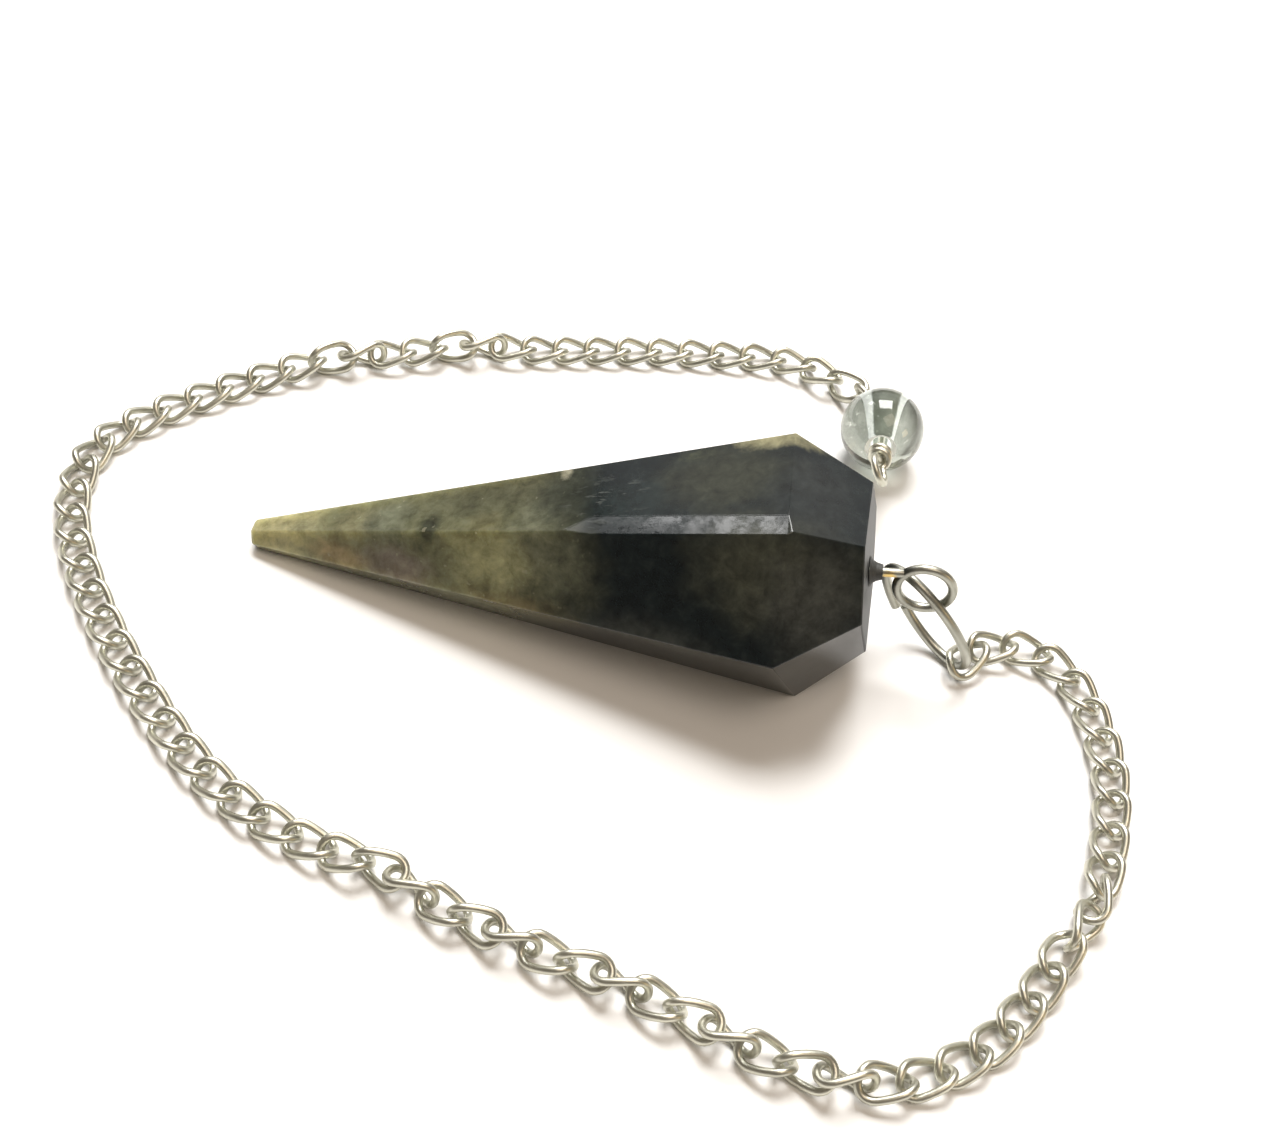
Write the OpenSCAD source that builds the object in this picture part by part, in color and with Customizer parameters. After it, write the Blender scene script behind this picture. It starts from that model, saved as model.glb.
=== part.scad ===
// Pendulum pendant: a six-sided stone point on a curb chain that ends in a clear bead.
// It lies on a flat surface at z = 0, on one long facet of the stone, the tip towards -X.

/* [Stone] */
// Length along the stone's axis, from tip to flat top
stone_len = 41; // [32:0.5:50]
// Length of the crown, where the short end facets are
crown_len = 4.7; // [3:0.1:7]
// Width across corners at the shoulder
stone_d = 17.3; // [13:0.1:21]
// Distance from the axis to a crown facet's edge at the flat top
top_apothem = 5; // [3.6:0.1:5.6]
// Width across corners of the blunt tip
tip_d = 1.9; // [1:0.1:3]

/* [Eye pin] */
// Diameter of the pin's wire
pin_d = 0.62; // [0.4:0.02:0.9]
// Depth that the pin is set into the stone
pin_depth = 4; // [2:0.5:8]
// Distance from the flat top to the middle of the eye, along the axis
eye_reach = 3.7; // [3.2:0.1:6]
// Drop of the eye's middle below the pin's own line
eye_drop = 1.3; // [0.6:0.1:1.5]
// Diameter of the eye, measured at the middle of its wire
eye_d = 3.5; // [3:0.1:4]
// Width of the cement cone on the flat top
collar_d = 2; // [1.4:0.1:3]
// Height of the cement cone
collar_h = 0.8; // [0.4:0.1:1.2]

/* [Jump ring] */
// Diameter of the ring's wire
ring_wire_d = 0.65; // [0.5:0.05:0.8]
// Longer inner width of the ring
ring_inner_len = 8.2; // [7.8:0.1:9]
// Shorter inner width of the ring
ring_inner_w = 4.7; // [4.2:0.1:5.2]
// Compass heading of the ring's face
ring_heading = 53.5; // [48:0.5:60]
// Lean of the ring's face above level
ring_lean = 20.3; // [16:0.1:25]
// Turn of the long way of the ring in its own plane
ring_turn = 33; // [28:1:38]
// Width of the cut in the ring
ring_cut = 0.35; // [0.2:0.05:0.8]
// Sideways step between the two cut ends
ring_step = 0.6; // [0:0.1:0.8]

/* [Chain] */
// Diameter of the links' wire
link_wire_d = 0.5; // [0.4:0.02:0.54]
// Distance from one link's middle to the next
link_pitch = 2.4; // [2.2:0.05:2.8]
// Width of a link, measured at the middle of its wire
link_w = 1.95; // [1.8:0.05:2.2]
// Twist of each end of a link out of the link's mean plane
link_twist = 44; // [38:1:48]
// Sides of the wire's section
link_sides = 6; // [5:1:6]

/* [Bead] */
// Diameter of the bead
bead_d = 6; // [5:0.1:8]
// Diameter of the bead's bore
bead_bore_d = 1.9; // [1.8:0.1:2.4]
// Rise of the bead's bore towards the free end
bead_rise = 12; // [0:1:20]
// Diameter of the wire through the bead
bead_wire_d = 0.5; // [0.4:0.02:0.6]
// Diameter of the end loops, measured at the middle of the wire
loop_d = 2; // [1.8:0.1:2.4]
// Turns of wire wrapped round each neck
wrap_turns = 2; // [1:1:3]

/* [Fits] */
// Clearance between the pin and its bore, and between other pieces that meet
fit_gap = 0.05; // [0.02:0.01:0.1]
// Least clearance between one loose link and the next
link_gap = 0.25; // [0.1:0.01:0.3]

/* [Hidden] */
$fn = 48;

// Far more than any size of the model, for cutting planes
reach = 200;

// Stone corners, seen along the axis: angle from straight up, turning towards -Y, and how far the
// corner sits past the shoulder, as a share of the crown's length
CORNER_ANGLE = 0;
CORNER_SHIFT = 1;
CORNERS = [[-30, -0.04], [30, 0.06], [90, -0.08], [150, 0.06], [210, 0], [270, 0.02]];
// Distance of each crown facet's edge from the axis at the flat top, as a share of top_apothem;
// the first facet lies between the first two corners
CROWN_SHARE = [1.03, 1.03, 0.88, 0.93, 1, 1];

body_len = stone_len - crown_len;
taper = (stone_d - tip_d) / 2 / body_len;
// Slope of a long facet against the axis, which is how far the stone's axis rises as it lies
stone_tilt = atan(taper * cos(30));
stone_x = -18.7;
stone_z = tip_d / 2 * cos(30) * cos(stone_tilt);

// Points along the stone's axis, as it lies
function on_axis(s) = [stone_x + s * cos(stone_tilt), 0, stone_z + s * sin(stone_tilt)];
eye_mid = on_axis(stone_len + eye_reach) - [0, 0, eye_drop];
// The chain and the bead keep their places from the middle of the flat top
top_x = on_axis(stone_len).x;

// Centre line of the ring: its half lengths, its own axes and its middle
ring_a = (ring_inner_len + ring_wire_d) / 2;
ring_b = (ring_inner_w + ring_wire_d) / 2;
ring_face = [cos(ring_lean) * cos(ring_heading), cos(ring_lean) * sin(ring_heading), sin(ring_lean)];
ring_down = unit(ring_face.z * ring_face - [0, 0, 1]);
ring_long = cos(ring_turn) * ring_down - sin(ring_turn) * cross(ring_face, ring_down);
ring_short = cross(ring_face, ring_long);
ring_half_height = norm([ring_a * ring_long.z, ring_b * ring_short.z]);
// The ring stands just above the surface, its upper bend inside the eye
ring_foot = 0.1;
ring_mid = [eye_mid.x + 0.8, 0.78, ring_half_height + ring_wire_d / 2 + ring_foot];
// The ring's cut faces this way round from its lower end
ring_cut_at = 92;

// Chain route: x from the middle of the stone's flat top, y, and the height of the link above its
// lying height. The first and last points follow from the ring and from the bead's loop.
ROUTE = [
    [8.4, 1.9, 0.26], [11.1, 2.3, 0.13], [12.7, 2.5, 0], [14.6, 0.8, 0], [15.9, -1.3, 0],
    [17.2, -6, 0], [17.2, -11, 0], [16.4, -15.6, 0], [15.4, -18.3, 0], [13.9, -20.8, 0],
    [12.8, -23.2, 0], [10.2, -27, 0], [6.3, -29.9, 0], [4, -30.5, 0], [1.1, -30.8, 0],
    [-2, -30.2, 0], [-6.5, -28.9, 0], [-9.9, -27.8, 0], [-12.5, -27.4, 0], [-16.9, -26.3, 0],
    [-19.1, -25.9, 0], [-23.4, -24.2, 0], [-25.5, -23.5, 0], [-29.7, -22.6, 0], [-34.3, -20.9, 0],
    [-39.1, -17.7, 0], [-44.8, -12.2, 0], [-49.7, -6.2, 0], [-52.8, -0.5, 0], [-53.3, 4.8, 0],
    [-51, 9, 0], [-45.6, 14.3, 0], [-42, 17, 0], [-36.2, 19.9, 0], [-31.9, 21.7, 0],
    [-25.8, 23.5, 0], [-17.6, 25.7, 0], [-10.9, 27, 0], [-7.1, 27.3, 0.07], [-4.2, 26.2, 0.15]
];
// Rolls about the chain of the first links, which hang from the ring, and of the last ones, which
// hang from the bead's loop, counted from the end
FIRST_ROLLS = [2, 6, 10, 5];
LAST_ROLLS = [47, 5, -2];
// Places where the chain turns over: the number of the last link before the turn, and how many
// joints the turn takes. Three joints make half a turn, after which the links lie as before.
FLIPS = [[10, 3], [19, 15], [58, 3], [62, 3]];
joint_turn = 60;
// How much closer two links come where the joint between them is turned
turned_take_up = 0.18;
// Steepest rise from one link to the next, near links that a turn stands on edge
rest_rise = 0.25;
rest_reach = 3;
rest_gap = 0.06;
// Directions of the first and last links, and the way from what they hang on to their middles, as
// shares of a link's inner half length
first_dir = unit([0.53, 0.85, 0]);
last_dir = unit([0.83, -0.51, 0.23]);
first_way = [0.36, 0.63, 0.11];
last_way = [0.76, -0.16, 0.11];
// Steps round each end of a link
END_STEPS = 5;
// Steps between one route point and the next
ROUTE_STEPS = 6;

// Half lengths of a link's centre line, and of its straight part. The flat side that ends the
// centre line cuts off a little of the round end, which is added.
link_b = link_w / 2;
link_cut_off = link_b * (1 - cos(90 / END_STEPS));
link_a = (link_pitch + link_wire_d + link_gap) / 2 + link_cut_off;
link_straight = link_a - link_b;

// The ring passes through the first link here
ring_hook_at = 350;
ring_hook = ring_point(ring_hook_at);

// The bead rests on the surface, its bore rising towards -Y, where the free end is
bead_at = [top_x + 0.3, 19.2, bead_d / 2];
bore_dir = [0, -cos(bead_rise), sin(bead_rise)];
mouth = sqrt(pow(bead_d / 2, 2) - pow(bead_bore_d / 2, 2));
wrap_r = bead_wire_d + 2 * fit_gap;
wrap_pitch = bead_wire_d + 2 * fit_gap;
wrap_bend = 0.25;
loop_r = loop_d / 2;
WIRE_SIDES = 8;
// Free end: its loop's middle is this far out of the bore, and its top leans towards -X
free_out = 2.8;
free_side = [-0.53, 0.18, 0.83];
// Chain end: bent towards the chain, its loop upright
hold_out = 2.7;
hold_dir = unit([-0.5, 0.8, -0.33]);
hold_side = [-0.56, -0.01, 0.83];
hold_turns = 1;
// The loop passes through the last link here
hold_hook_at = 164;
hold_from = bead_at - mouth * bore_dir;
hold_x = unit(hold_side - (hold_side * hold_dir) * hold_dir);
hold_hook = hold_from + (hold_out - loop_r * cos(hold_hook_at)) * hold_dir
    + loop_r * sin(hold_hook_at) * hold_x;

function unit(v) = v / norm(v);

// Point on the ring's centre line. Near the cut the two ends step apart sideways.
function ring_point(w) = ring_mid + ring_a * cos(w) * ring_long + ring_b * sin(w) * ring_short
    + ring_step / 2 * (end_share(ring_cut_at + 360 - w) - end_share(w - ring_cut_at)) * ring_face;

function end_share(angle) = pow(max(0, 1 - angle / 90), 2);

// Oval centre line of a link: x, y and the x that sets the twist
function link_line() = [
    for (end = [1, -1])
        for (k = [0:END_STEPS])
            let (turn = -90 + 180 * k / END_STEPS, x = link_straight + link_b * cos(turn))
                end * [x, link_b * sin(turn), x]
];

// Outward directions at the same places
function link_outward() = [
    for (end = [1, -1])
        for (k = [0:END_STEPS])
            let (turn = -90 + 180 * k / END_STEPS, x = link_straight + link_b * cos(turn))
                end * [cos(turn), sin(turn), x]
];

// The same twisted, left-handed, and rolled about the link's length
function turned(v, roll) =
    let (angle = roll - link_twist * v[2] / link_a)
        [v.x, v.y * cos(angle), v.y * sin(angle)];

// Height of a link's middle when it lies a hair above the surface
function lying_height(roll) = link_wire_d / 2 + rest_gap - min([for (v = link_line()) turned(v, roll).z]);

// Smooth curve through the points p, from point i to the next one
function curve(p, i, t) =
    let (a = p[max(i - 1, 0)], b = p[i], c = p[i + 1], d = p[min(i + 2, len(p) - 1)])
        b + t * (c - a) / 2 + t * t * (2 * a - 5 * b + 4 * c - d) / 2
            + t * t * t * (3 * b - a - 3 * c + d) / 2;

function running_length(p) = [
    for (i = 0, s = 0; i < len(p); i = i + 1, s = s + (i < len(p) ? norm(p[i] - p[i - 1]) : 0)) s
];

// Number of turned joints before link i
function turned_joints(i) = [for (f = FLIPS) min(max(i - f[0], 0), f[1])] * [for (f = FLIPS) 1];
all_turned = [for (f = FLIPS) f[1]] * [for (f = FLIPS) 1];

// The whole route, which starts and ends at the middles of the end links
first_mid = ring_hook + first_way * (link_a - link_wire_d / 2 - ring_wire_d / 2);
last_mid = hold_hook - last_way * (link_a - link_wire_d / 2 - bead_wire_d / 2);
first_rest = lying_height(FIRST_ROLLS[0]);
last_rest = lying_height(LAST_ROLLS[0]);
ends = [first_mid - [0, 0, first_rest], last_mid - [0, 0, last_rest]];
knots = concat([ends[0]], [for (r = ROUTE) r + [top_x, 0, 0]], [ends[1]]);
route = concat(
    [for (i = [0:len(knots) - 2]) for (k = [0:ROUTE_STEPS - 1]) curve(knots, i, k / ROUTE_STEPS)],
    [ends[1]]
);
route_s = running_length(route);
route_len = route_s[len(route_s) - 1];
route_x = [for (i = [0:len(route) - 1]) [route_s[i], route[i].x]];
route_y = [for (i = [0:len(route) - 1]) [route_s[i], route[i].y]];
route_z = [for (i = [0:len(route) - 1]) [route_s[i], route[i].z]];
// Length that the chain would have with no turned joints
straight_len = route_len + turned_take_up * all_turned;
link_count = round(straight_len / link_pitch) + 1;
link_step = straight_len / (link_count - 1);
last_link = link_count - 1;

function on_route(s) = [lookup(s, route_x), lookup(s, route_y), lookup(s, route_z)];

function link_roll(i) =
    i < len(FIRST_ROLLS) ? FIRST_ROLLS[i]
    : last_link - i < len(LAST_ROLLS) ? LAST_ROLLS[last_link - i]
    : joint_turn * turned_joints(i);

// Height of a link's middle: its own lying height, or more where a neighbour holds it up
function rest_height(i) =
    let (near = i == 0 || i == last_link ? 0 : rest_reach)
        max([
            for (j = [max(i - near, 0):min(i + near, last_link)])
                lying_height(link_roll(j)) - rest_rise * abs(i - j)
        ]);

function link_mid(i) =
    on_route(i * link_step - turned_take_up * turned_joints(i)) + [0, 0, rest_height(i)];

function link_dir(i) =
    i == 0 ? first_dir
    : i == last_link ? last_dir
    : unit(link_mid(i + 1) - link_mid(i - 1));

// Points of one link's wire, one ring of them after another
function link_points(i) =
    let (
        mid = link_mid(i), roll = link_roll(i), u = link_dir(i),
        left = unit(cross([0, 0, 1], u)), up = cross(u, left),
        line = [for (v = link_line()) turned(v, roll)],
        outward = [for (v = link_outward()) turned(v, roll)],
        n = len(line)
    )
        [for (k = [0:n - 1])
            let (
                t = unit(line[(k + 1) % n] - line[(k + n - 1) % n]),
                o = unit(outward[k] - (outward[k] * t) * t), b = cross(t, o)
            )
                for (j = [0:link_sides - 1])
                    let (
                        angle = 360 * j / link_sides,
                        v = line[k] + link_wire_d / 2 * (cos(angle) * o + sin(angle) * b)
                    )
                        mid + v.x * u + v.y * left + v.z * up];

// Triangles between rings of points, from ring k of a tube to ring next
function band(base, k, next, sides) = [
    for (j = [0:sides - 1])
        let (
            a = base + k * sides + j, b = base + k * sides + (j + 1) % sides,
            c = base + next * sides + j, d = base + next * sides + (j + 1) % sides
        )
            each [[a, c, d], [a, d, b]]
];

// Wire along the points p, with flat ends
module wire(p, d, sides) {
    n = len(p);
    t = [for (i = [0:n - 1]) unit(p[min(i + 1, n - 1)] - p[max(i - 1, 0)])];
    across = unit(cross(t[0], abs(t[0].z) < 0.9 ? [0, 0, 1] : [1, 0, 0]));
    o = [
        for (i = 0, v = across; i < n; i = i + 1, v = i < n ? unit(v - (v * t[i]) * t[i]) : v) v
    ];
    points = [
        for (i = [0:n - 1])
            for (j = [0:sides - 1])
                p[i] + d / 2 * (cos(360 * j / sides) * o[i] + sin(360 * j / sides) * cross(t[i], o[i]))
    ];
    bands = [for (i = [0:n - 2]) each band(0, i, i + 1, sides)];
    start_face = [for (j = [0:sides - 1]) j];
    end_face = [for (j = [sides - 1:-1:0]) (n - 1) * sides + j];
    polyhedron(points, concat(bands, [start_face, end_face]));
}

// Wire from the bore's mouth along its neck, round the loop, and wrapped back round the neck
function loop_wire(from, dir, side, out, turns) =
    let (
        z = dir, x = unit(side - (side * z) * z), y = cross(z, x), start = out - loop_r,
        loop = [for (a = [28:18:316]) [loop_r * sin(a), 0, out - loop_r * cos(a)]],
        wrap = [
            for (a = [0:30:360 * turns])
                [
                    -wrap_r * cos(a), -wrap_r * sin(a),
                    start - bead_wire_d / 4 - wrap_pitch * a / 360 - wrap_bend * (1 - pow(2, -a / 20))
                ]
        ]
    )
        [for (v = concat([[0, 0, 0], [0, 0, start - 0.4]], loop, wrap)) from + v.x * x + v.y * y + v.z * z];

function backwards(p) = [for (i = [len(p) - 1:-1:0]) p[i]];

// Everything on that side of the plane through p, q and r where the point inside lies
module half_space(p, q, r, inside) {
    n = unit(cross(q - p, r - p));
    out = (inside - p) * n > 0 ? -n : n;
    translate(p)
        rotate([0, acos(out.z), atan2(out.y, out.x)])
            translate([-reach, -reach, -2 * reach])
                cube(2 * reach);
}

// Point in the stone's own frame, where the tip is the origin and the axis is X
function stone_point(angle, r, s) = [s, -r * sin(angle), r * cos(angle)];

function corner(k) =
    let (c = CORNERS[k % 6], past = c[CORNER_SHIFT] * crown_len)
        stone_point(c[CORNER_ANGLE], stone_d / 2 + taper * past, body_len + past);

module in_stone_frame() {
    translate([stone_x, 0, stone_z])
        rotate([0, -stone_tilt, 0])
            children();
}

module crystal_point() {
    inside = [body_len, 0, 0];
    blunt = [
        [0, 0], [0.25 * tip_d, 0], [0.4 * tip_d, 0.09 * tip_d], [0.48 * tip_d, 0.24 * tip_d],
        [stone_d, stone_d], [stone_d, stone_len + 1], [0, stone_len + 1]
    ];
    color("darkolivegreen")
        in_stone_frame()
            difference() {
                intersection() {
                    translate([-1, -reach, -reach])
                        cube([stone_len + 1, 2 * reach, 2 * reach]);
                    intersection_for (k = [0:5])
                        half_space(
                            corner(k), corner(k + 1),
                            stone_point(CORNERS[k][CORNER_ANGLE], tip_d / 2, 0), inside
                        );
                    intersection_for (k = [0:5])
                        half_space(
                            corner(k), corner(k + 1),
                            stone_point(
                                CORNERS[k][CORNER_ANGLE] + 30, top_apothem * CROWN_SHARE[k], stone_len
                            ),
                            inside
                        );
                    rotate([0, 90, 0])
                        rotate_extrude()
                            polygon(blunt);
                }
                translate([stone_len - pin_depth, 0, 0])
                    rotate([0, 90, 0])
                        cylinder(h = pin_depth + 1, d = pin_d + 2 * fit_gap);
            }
}

module pin_collar() {
    bore_r = pin_d / 2 + fit_gap;
    color("dimgray")
        in_stone_frame()
            translate([stone_len + fit_gap, 0, 0])
                rotate([0, 90, 0])
                    rotate_extrude()
                        polygon([
                            [bore_r, 0], [collar_d / 2, 0], [0.75 * collar_d / 2, 0.2 * collar_h],
                            [0.6 * collar_d / 2, 0.5 * collar_h], [bore_r + 0.12, collar_h],
                            [bore_r, collar_h]
                        ]);
}

module eye_pin() {
    // The peg is a hair thinner than the eye and ends inside the eye's wire
    peg_d = pin_d - 0.02;
    peg_from = stone_len - pin_depth + fit_gap;
    peg_to = stone_len + eye_reach - eye_drop * sin(stone_tilt)
        - sqrt(pow(eye_d / 2, 2) - pow(eye_drop * cos(stone_tilt), 2));
    color("silver") {
        union() {
            in_stone_frame()
                translate([peg_from, 0, 0])
                    rotate([0, 90, 0])
                        cylinder(h = peg_to - peg_from, d = peg_d);
            translate(eye_mid)
                rotate([90, 0, 0])
                    rotate_extrude()
                        translate([eye_d / 2, 0])
                            circle(d = pin_d);
        }
    }
}

module jump_ring() {
    open = ring_cut / ring_a * 180 / PI / 2;
    steps = 40;
    span = 360 - 2 * open;
    line = [for (k = [0:steps]) ring_point(ring_cut_at + open + span * k / steps)];
    color("silver")
        wire(line, ring_wire_d, 10);
}

module chain() {
    sides = link_sides;
    rings = 2 * (END_STEPS + 1);
    points = [for (i = [0:last_link]) each link_points(i)];
    faces = [
        for (i = [0:last_link])
            for (k = [0:rings - 1])
                each band(i * rings * sides, k, (k + 1) % rings, sides)
    ];
    color("silver")
        polyhedron(points, faces);
}

module bead() {
    color("lightgray")
        translate(bead_at)
            rotate([90 - bead_rise, 0, 0])
                difference() {
                    sphere(d = bead_d);
                    cylinder(h = 2 * bead_d, d = bead_bore_d, center = true);
                    for (end = [0, 180])
                        rotate([end, 0, 0])
                            translate([0, 0, mouth - 0.15])
                                cylinder(h = 1, d1 = bead_bore_d, d2 = bead_bore_d + 2);
                }
}

module bead_wire() {
    free = loop_wire(bead_at + mouth * bore_dir, bore_dir, free_side, free_out, wrap_turns);
    hold = loop_wire(hold_from, hold_dir, hold_side, hold_out, hold_turns);
    color("silver")
        wire(concat(backwards(free), hold), bead_wire_d, WIRE_SIDES);
}

crystal_point();
pin_collar();
eye_pin();
jump_ring();
chain();
bead();
bead_wire();
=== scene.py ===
import bisect
from math import acos, atan, atan2, cos, degrees, hypot, pi, radians, sin, sqrt

import bmesh
import bpy
from mathutils import Matrix, Vector


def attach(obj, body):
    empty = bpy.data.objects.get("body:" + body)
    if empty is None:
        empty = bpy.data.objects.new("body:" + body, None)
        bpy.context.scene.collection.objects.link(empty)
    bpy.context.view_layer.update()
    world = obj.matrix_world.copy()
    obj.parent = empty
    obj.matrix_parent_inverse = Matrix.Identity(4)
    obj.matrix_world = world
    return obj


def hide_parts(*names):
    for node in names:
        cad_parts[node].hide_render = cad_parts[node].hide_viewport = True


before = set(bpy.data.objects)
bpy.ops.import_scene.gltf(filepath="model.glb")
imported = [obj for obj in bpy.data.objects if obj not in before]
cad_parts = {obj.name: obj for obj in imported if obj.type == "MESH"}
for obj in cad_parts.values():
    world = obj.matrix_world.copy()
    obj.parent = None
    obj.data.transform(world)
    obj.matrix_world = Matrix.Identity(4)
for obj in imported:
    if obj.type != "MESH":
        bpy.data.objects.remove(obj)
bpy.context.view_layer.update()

# Sizes are in millimetres, as in the part's source, and angles in degrees. MM turns them to metres.
MM = 0.001

# Stone
STONE_LEN = 41
CROWN_LEN = 4.7
STONE_D = 17.3
TOP_APOTHEM = 5
TIP_D = 1.9
# Each corner: angle from straight up, turning towards -Y, and shift past the shoulder as a share
# of the crown's length
CORNERS = [(-30, -0.04), (30, 0.06), (90, -0.08), (150, 0.06), (210, 0), (270, 0.02)]
CROWN_SHARE = [1.03, 1.03, 0.88, 0.93, 1, 1]
BODY_LEN = STONE_LEN - CROWN_LEN
TAPER = (STONE_D - TIP_D) / 2 / BODY_LEN
STONE_TILT = atan(TAPER * cos(radians(30)))
STONE_AT = Vector((-18.7, 0, TIP_D / 2 * cos(radians(30)) * cos(STONE_TILT)))
STONE_FRAME = Matrix.Translation(STONE_AT) @ Matrix.Rotation(-STONE_TILT, 4, "Y")
TIP_ROUND = 0.34
EDGE_ROUND = 0.06
# The strip ground on the ridge of corner 1: where it starts, its cut, and how far the cut's edges
# are moved from the ridge on the upper and the front facet, as shares of the cut
STRIP_CORNER = 1
STRIP_FROM = 24.2
STRIP_CUT = 0.4
STRIP_ON_UPPER = 3.2
STRIP_ON_FRONT = 0.6

# Findings
PIN_D = 0.62
PIN_DEPTH = 4
EYE_REACH = 3.7
EYE_DROP = 1.3
EYE_D = 3.5
FIT_GAP = 0.05
# The pin is this much thinner than the eye's wire, so their faces don't lie in one another
PEG_THINNER = 0.01
# Cut ends of wire are chamfered by this share of its radius
WIRE_CHAMFER = 0.18
RING_WIRE_D = 0.65
RING_INNER = (8.2, 4.7)
RING_HEADING = 53.5
RING_LEAN = 20.3
RING_TURN = 33
RING_PAST_EYE = 0.8
RING_ASIDE = 0.78
RING_CUT = 0.35
RING_CUT_AT = 92
RING_STEP = 0.6
RING_FOOT = 0.1
RING_HOOK_AT = 350

# Chain
LINK_WIRE_D = 0.5
LINK_PITCH = 2.4
LINK_W = 1.95
LINK_TWIST = 44
LINK_GAP = 0.25
END_STEPS = 5
FIRST_ROLLS = [2, 6, 10, 5]
LAST_ROLLS = [47, 5, -2]
# Turns of the chain: the last link before each turn, and the number of joints that it takes
FLIPS = [(10, 3), (19, 15), (58, 3), (62, 3)]
JOINT_TURN = 60
TURNED_TAKE_UP = 0.18
REST_RISE = 0.25
REST_REACH = 3
REST_GAP = 0.06
FIRST_DIR = Vector((0.53, 0.85, 0)).normalized()
LAST_DIR = Vector((0.83, -0.51, 0.23)).normalized()
FIRST_WAY = Vector((0.36, 0.63, 0.11))
LAST_WAY = Vector((0.76, -0.16, 0.11))
ROUTE_STEPS = 6
# The chain's route: x from the middle of the stone's flat top, y, and height above a lying link
ROUTE = [
    (8.4, 1.9, 0.26), (11.1, 2.3, 0.13), (12.7, 2.5, 0), (14.6, 0.8, 0), (15.9, -1.3, 0),
    (17.2, -6, 0), (17.2, -11, 0), (16.4, -15.6, 0), (15.4, -18.3, 0), (13.9, -20.8, 0),
    (12.8, -23.2, 0), (10.2, -27, 0), (6.3, -29.9, 0), (4, -30.5, 0), (1.1, -30.8, 0),
    (-2, -30.2, 0), (-6.5, -28.9, 0), (-9.9, -27.8, 0), (-12.5, -27.4, 0), (-16.9, -26.3, 0),
    (-19.1, -25.9, 0), (-23.4, -24.2, 0), (-25.5, -23.5, 0), (-29.7, -22.6, 0), (-34.3, -20.9, 0),
    (-39.1, -17.7, 0), (-44.8, -12.2, 0), (-49.7, -6.2, 0), (-52.8, -0.5, 0), (-53.3, 4.8, 0),
    (-51, 9, 0), (-45.6, 14.3, 0), (-42, 17, 0), (-36.2, 19.9, 0), (-31.9, 21.7, 0),
    (-25.8, 23.5, 0), (-17.6, 25.7, 0), (-10.9, 27, 0), (-7.1, 27.3, 0.07), (-4.2, 26.2, 0.15),
]

# Bead
BEAD_D = 6
BEAD_BORE_D = 1.9
BORE_NECK_D = 1.36
BORE_LEAD = 0.4
BORE_CHAMFER = 0.16
BEAD_RISE = 12
TOP_X = STONE_AT.x + STONE_LEN * cos(STONE_TILT)
BEAD_AT = Vector((TOP_X + 0.3, 19.2, BEAD_D / 2))
BEAD_WIRE_D = 0.5
LOOP_D = 2
LOOP_ANGLES = range(28, 317, 18)
NECK_SHORT = 0.4
WRAP_TURNS = 2
WRAP_STEP = 30
WRAP_BEND = 0.25
WRAP_EASE = 20
FREE_OUT = 2.8
FREE_SIDE = Vector((-0.53, 0.18, 0.83))
HOLD_OUT = 2.7
HOLD_DIR = Vector((-0.5, 0.8, -0.33)).normalized()
HOLD_SIDE = Vector((-0.56, -0.01, 0.83))
HOLD_TURNS = 1
HOLD_HOOK_AT = 164

# Camera
# Fitted to the photograph: place, line of sight, the picture's right, focal length in pixels
CAMERA_AT = Vector((13.104, -76.394, 87.884))
CAMERA_SIGHT = Vector((-0.05102, 0.67366, -0.73728)).normalized()
CAMERA_RIGHT = Vector((0.98135, 0.17084, 0.08818))
FOCAL_PX = 1750
IMAGE_PX = (1280, 1142)
SENSOR = 36

UP = Vector((0, 0, 1))


def deg_cos(angle):
    return cos(radians(angle))


def deg_sin(angle):
    return sin(radians(angle))


def square_to(vector, direction):
    """The part of vector at right angles to direction, as a unit vector."""
    return (vector - vector.dot(direction) * direction).normalized()


# Meshes
def new_piece(name, verts, faces, materials, node):
    """Makes a piece from points in millimetres. It rides on the body and replaces a node."""
    mesh = bpy.data.meshes.new(name)
    mesh.from_pydata([MM * Vector(v) for v in verts], [], faces)
    mesh.validate()
    for polygon in mesh.polygons:
        polygon.use_smooth = True
    piece = bpy.data.objects.new(name, mesh)
    bpy.context.scene.collection.objects.link(piece)
    for material in materials:
        mesh.materials.append(material)
    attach(piece, "root")
    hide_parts(node)
    return piece


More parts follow.
